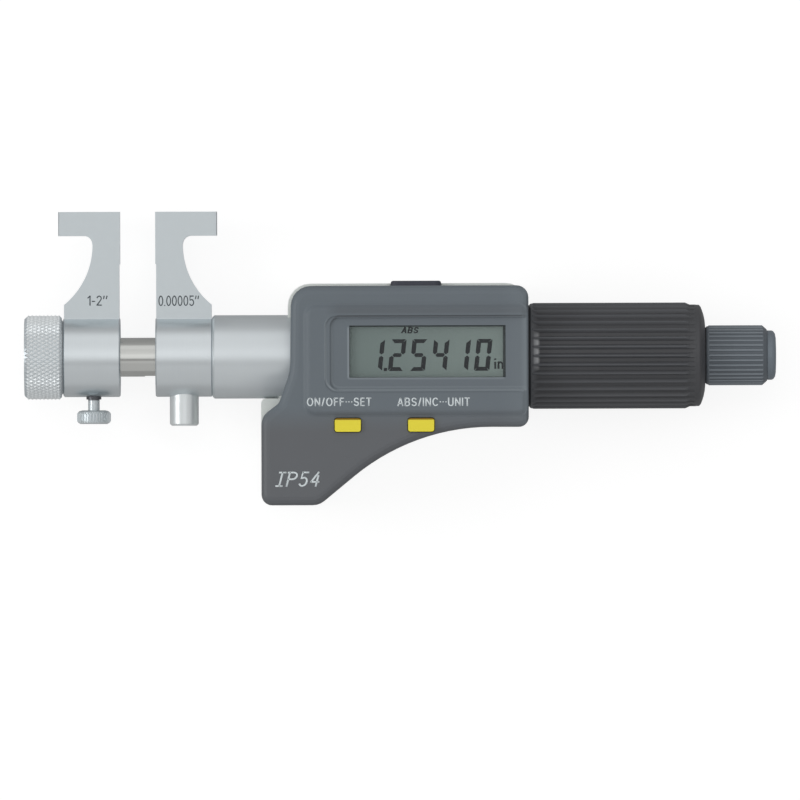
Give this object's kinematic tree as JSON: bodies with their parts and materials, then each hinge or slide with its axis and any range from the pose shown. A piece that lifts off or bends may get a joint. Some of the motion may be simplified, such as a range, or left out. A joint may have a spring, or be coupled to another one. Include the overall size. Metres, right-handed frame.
{
  "type": "digital inside micrometer",
  "caption": "Hand-held inside micrometer with two hooked caliper jaws, grey display housing, ribbed thimble and ratchet knob.",
  "frame": {"origin": "on the flat back of the housing, right below the spindle axis, midway along the housing", "axes": "+X along the spindle from the jaws to the ratchet, +Y towards the hooks, +Z out of the display"},
  "size_m": [0.1505, 0.0588, 0.0252],
  "materials": {
    "satin_chrome": "satin chrome on ground steel",
    "polished_rod": "fine ground and polished",
    "knurled_chrome": "satin chrome over diamond knurl",
    "plated_screw": "bright nickel plate, ribbed",
    "plated_plug": "bright nickel plate",
    "satin_sleeve": "satin chrome, turned",
    "silver_casting": "silver lacquer over casting",
    "grey_plastic": "fine matt grey",
    "black_rubber": "matt",
    "clear_window": "clear gloss",
    "lcd_glass": "grey-green reflective display",
    "elastomer": "soft conductive strip",
    "board": "green solder mask",
    "switch_black": "matt black",
    "port_navy": "matt navy",
    "button_yellow": "semi-gloss yellow",
    "battery_can": "bright nickel can",
    "contact_brass": "plain brass",
    "cap_grey": "matt dark grey",
    "screw_steel": "zinc plated",
    "bush_steel": "turned steel",
    "thimble_black": "dark satin lacquer",
    "ratchet_grey": "satin grey lacquer",
    "cap_satin": "smooth satin grey"
  },
  "bodies": {
    "housing": {"sleeve": "satin_sleeve", "fixed_jaw": "satin_chrome", "key_plug": "plated_plug", "rod_wiper": "black_rubber", "rear_body": "silver_casting", "front_cover": "grey_plastic", "cover_gasket": "black_rubber", "cover_screws": "screw_steel", "display_window": "clear_window", "lcd_panel": "lcd_glass", "lcd_connectors": "elastomer", "circuit_board": "board", "key_switches": "switch_black", "port_connector": "switch_black", "battery": "battery_can", "battery_contacts": "contact_brass", "encoder_stator": "board", "spindle_bush": "bush_steel"},
    "jaw_slide": {"moving_jaw": "satin_chrome", "guide_rod": "polished_rod"},
    "wheel": {"adjusting_wheel": "knurled_chrome"},
    "clamp": {"clamp_screw": "plated_screw"},
    "thimble_set": {"thimble": "thimble_black", "lead_screw": "screw_steel", "encoder_rotor": "board", "rotor_hub": "contact_brass", "retaining_nut": "bush_steel", "ratchet_screw": "screw_steel", "clutch_disc": "contact_brass", "ratchet_spring": "screw_steel"},
    "ratchet": {"ratchet_knob": "ratchet_grey", "ratchet_cap": "cap_satin"},
    "button_left": {"left_button": "button_yellow"},
    "button_right": {"right_button": "button_yellow"},
    "port_plug": {"port_cover": "port_navy"},
    "battery_lid": {"battery_cap": "cap_grey", "cap_seal": "black_rubber"}
  },
  "joints": [
    {"name": "thimble_turn", "type": "hinge", "parent": "housing", "child": "thimble_set", "pos_m": [0.03, 0, 0.0112], "axis": [-1, 0, 0], "range_deg": [-3659.5, 10741.5]},
    {"name": "jaw_travel", "type": "slide", "parent": "housing", "child": "jaw_slide", "axis": [-1, 0, 0], "range_m": [-0.00645, 0.01895]},
    {"name": "ratchet_turn", "type": "hinge", "parent": "thimble_set", "child": "ratchet", "pos_m": [0.06, 0, 0.0112], "axis": [-1, 0, 0], "continuous": true},
    {"name": "wheel_turn", "type": "hinge", "parent": "jaw_slide", "child": "wheel", "pos_m": [-0.07315, 0, 0.0112], "axis": [-1, 0, 0], "continuous": true},
    {"name": "clamp_turn", "type": "hinge", "parent": "jaw_slide", "child": "clamp", "pos_m": [-0.0631, -0.012, 0.0112], "axis": [0, 1, 0], "range_deg": [-360, 0]},
    {"name": "left_press", "type": "slide", "parent": "housing", "child": "button_left", "axis": [0, 0, -1], "range_m": [0, 0.0005], "stiffness_N_per_m": 800, "springref_m": -0.0005},
    {"name": "right_press", "type": "slide", "parent": "housing", "child": "button_right", "axis": [0, 0, -1], "range_m": [0, 0.0005], "stiffness_N_per_m": 800, "springref_m": -0.0005},
    {"name": "port_cover_pull", "type": "slide", "parent": "housing", "child": "port_plug", "axis": [0, 1, 0], "range_m": [0, 0.006]},
    {"name": "battery_cap_turn", "type": "hinge", "parent": "housing", "child": "battery_lid", "pos_m": [-0.0217, -0.0218, 0.001], "axis": [0, 0, 1], "range_deg": [0, 60]}
  ],
  "couplings": [
    {"joint": "thimble_turn", "follows": "jaw_travel", "rad_per_m": 9894.8}
  ]
}
